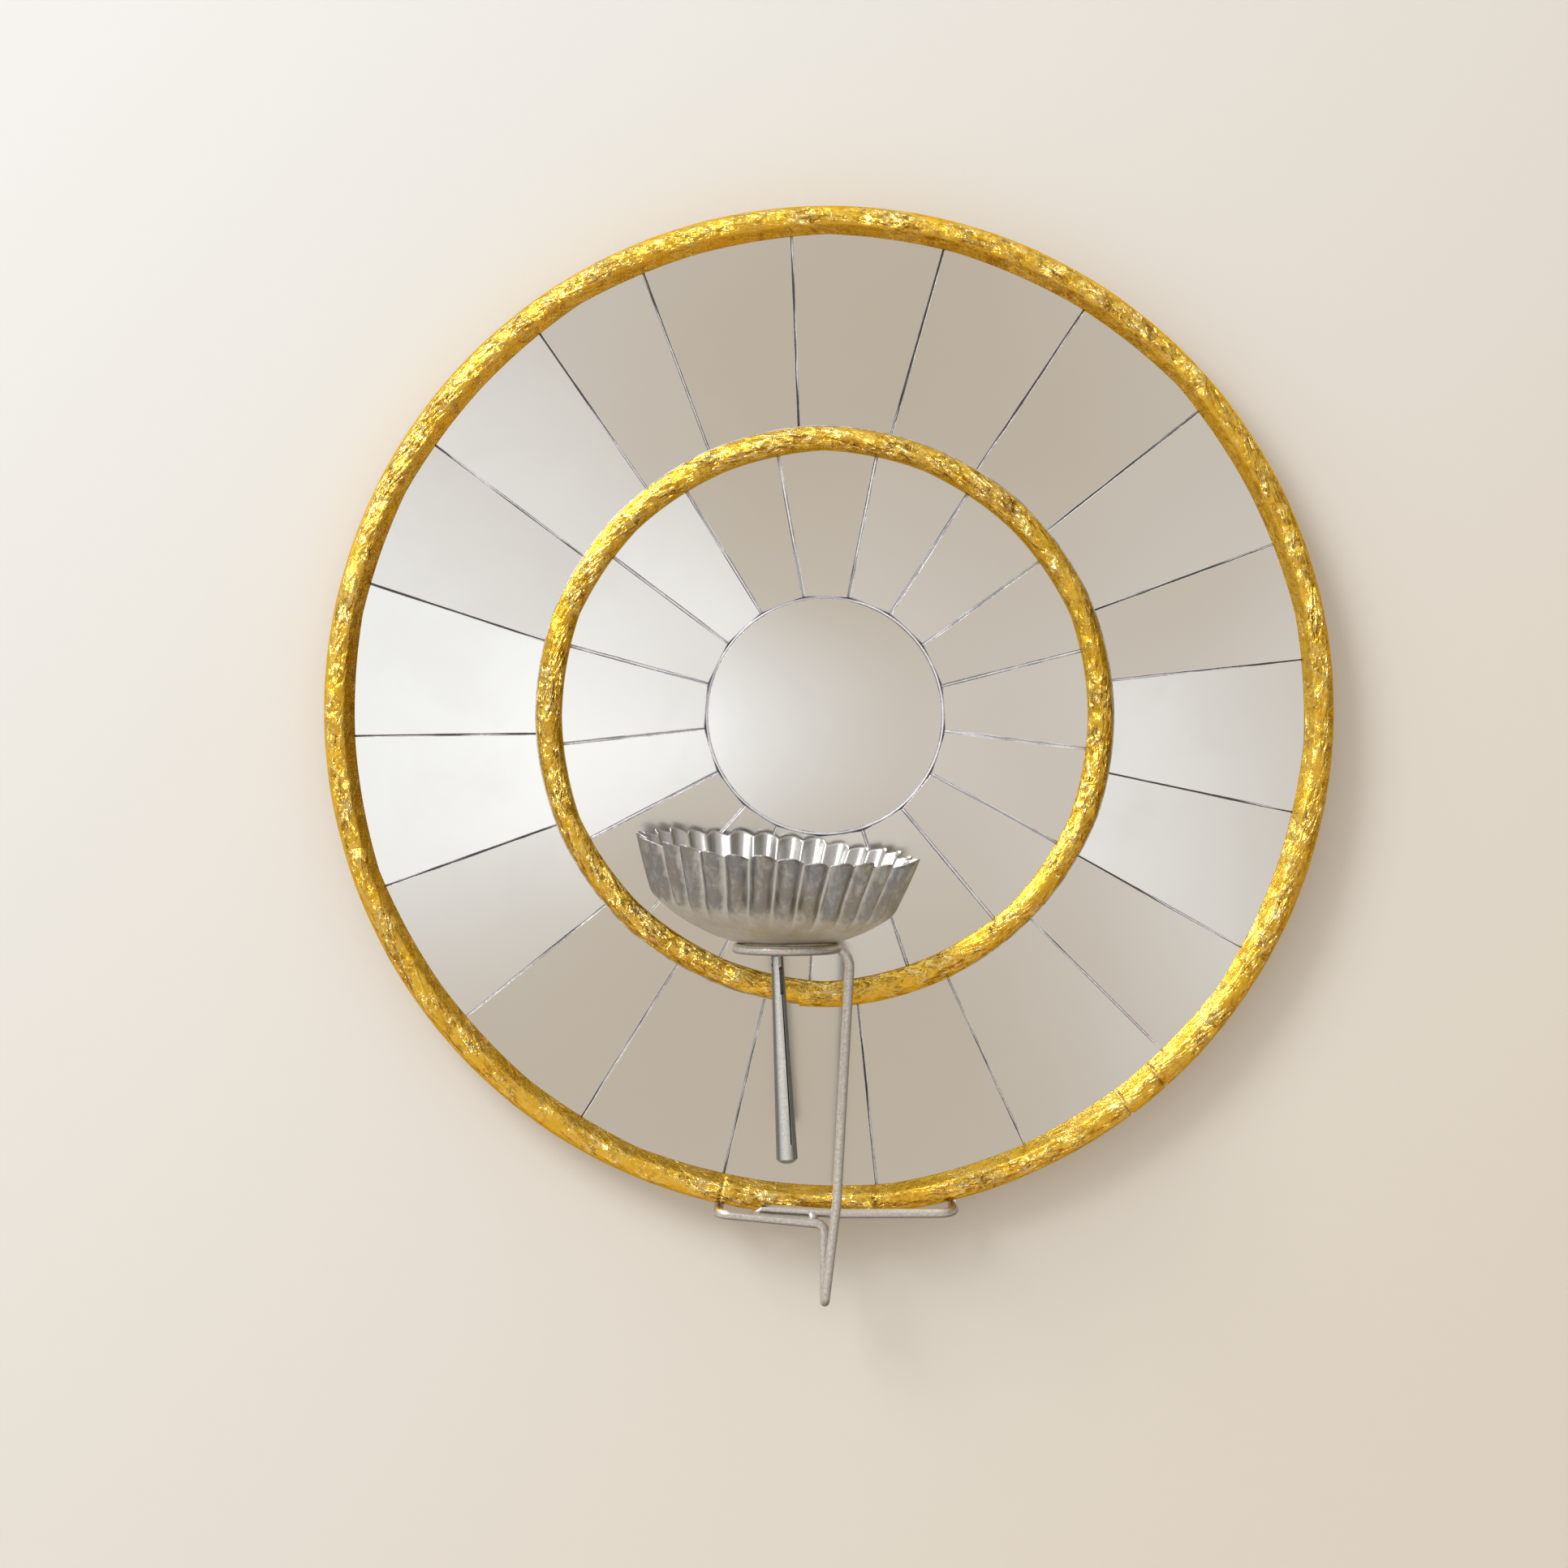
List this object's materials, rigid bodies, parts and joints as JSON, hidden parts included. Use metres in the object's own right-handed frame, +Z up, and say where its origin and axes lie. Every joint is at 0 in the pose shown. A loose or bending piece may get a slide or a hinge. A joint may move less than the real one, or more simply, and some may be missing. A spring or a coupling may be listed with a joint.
{
  "type": "round wall mirror with candle cup",
  "caption": "Round wall mirror of radiating glass pieces between gold foil rings, with a fluted tin candle cup in a bent wire holder.",
  "frame": {"origin": "middle of the outer gold ring, on the wall plane behind the spacer disc", "axes": "+X to the viewer's right, +Z up, -Y out of the glass towards the viewer; +Y into the wall"},
  "size_m": [0.43, 0.1479, 0.4655],
  "materials": {
    "mirror_glass": "silvered glass, satin reflection",
    "gold_foil": "crumpled gold foil over a light moulded core",
    "silver_adhesive": "silver-grey, matt",
    "plywood": "sanded birch plywood",
    "zinc_steel": "zinc plated",
    "grey_wire": "blasted warm grey wire, satin",
    "old_tinplate": "aged tinplate, satin with warm patina",
    "plain_steel": "plain steel, satin"
  },
  "bodies": {
    "root": {"outer_mirror_01": "mirror_glass", "outer_mirror_02": "mirror_glass", "outer_mirror_03": "mirror_glass", "outer_mirror_04": "mirror_glass", "outer_mirror_05": "mirror_glass", "outer_mirror_06": "mirror_glass", "outer_mirror_07": "mirror_glass", "outer_mirror_08": "mirror_glass", "outer_mirror_09": "mirror_glass", "outer_mirror_10": "mirror_glass", "outer_mirror_11": "mirror_glass", "outer_mirror_12": "mirror_glass", "outer_mirror_13": "mirror_glass", "outer_mirror_14": "mirror_glass", "outer_mirror_15": "mirror_glass", "outer_mirror_16": "mirror_glass", "outer_mirror_17": "mirror_glass", "outer_mirror_18": "mirror_glass", "outer_mirror_19": "mirror_glass", "outer_mirror_20": "mirror_glass", "inner_mirror_01": "mirror_glass", "inner_mirror_02": "mirror_glass", "inner_mirror_03": "mirror_glass", "inner_mirror_04": "mirror_glass", "inner_mirror_05": "mirror_glass", "inner_mirror_06": "mirror_glass", "inner_mirror_07": "mirror_glass", "inner_mirror_08": "mirror_glass", "inner_mirror_09": "mirror_glass", "inner_mirror_10": "mirror_glass", "inner_mirror_11": "mirror_glass", "inner_mirror_12": "mirror_glass", "inner_mirror_13": "mirror_glass", "inner_mirror_14": "mirror_glass", "inner_mirror_15": "mirror_glass", "inner_mirror_16": "mirror_glass", "inner_mirror_17": "mirror_glass", "centre_mirror": "mirror_glass", "outer_gold_ring": "gold_foil", "inner_gold_ring": "gold_foil", "adhesive_bed": "silver_adhesive", "back_board": "plywood", "back_spacer": "plywood", "spacer_screws": "zinc_steel", "hanging_plate": "zinc_steel", "plate_screws": "zinc_steel", "wire_saddles": "zinc_steel", "saddle_screws": "zinc_steel", "wire_holder": "grey_wire"},
    "cup": {"cup_tin": "old_tinplate", "hanging_stud": "plain_steel", "stud_washer": "plain_steel"},
    "weight": {"counterweight": "plain_steel", "swing_pin": "plain_steel"}
  },
  "joints": [
    {"name": "cup_lift", "type": "slide", "parent": "root", "child": "cup", "axis": [0, 0, 1], "range_m": [0, 0.1]},
    {"name": "weight_swing", "type": "hinge", "parent": "cup", "child": "weight", "pos_m": [-0.02167, -0.0883, -0.10353], "axis": [0.8819, 0.4695, 0.0431], "range_deg": [-30, 30]}
  ]
}
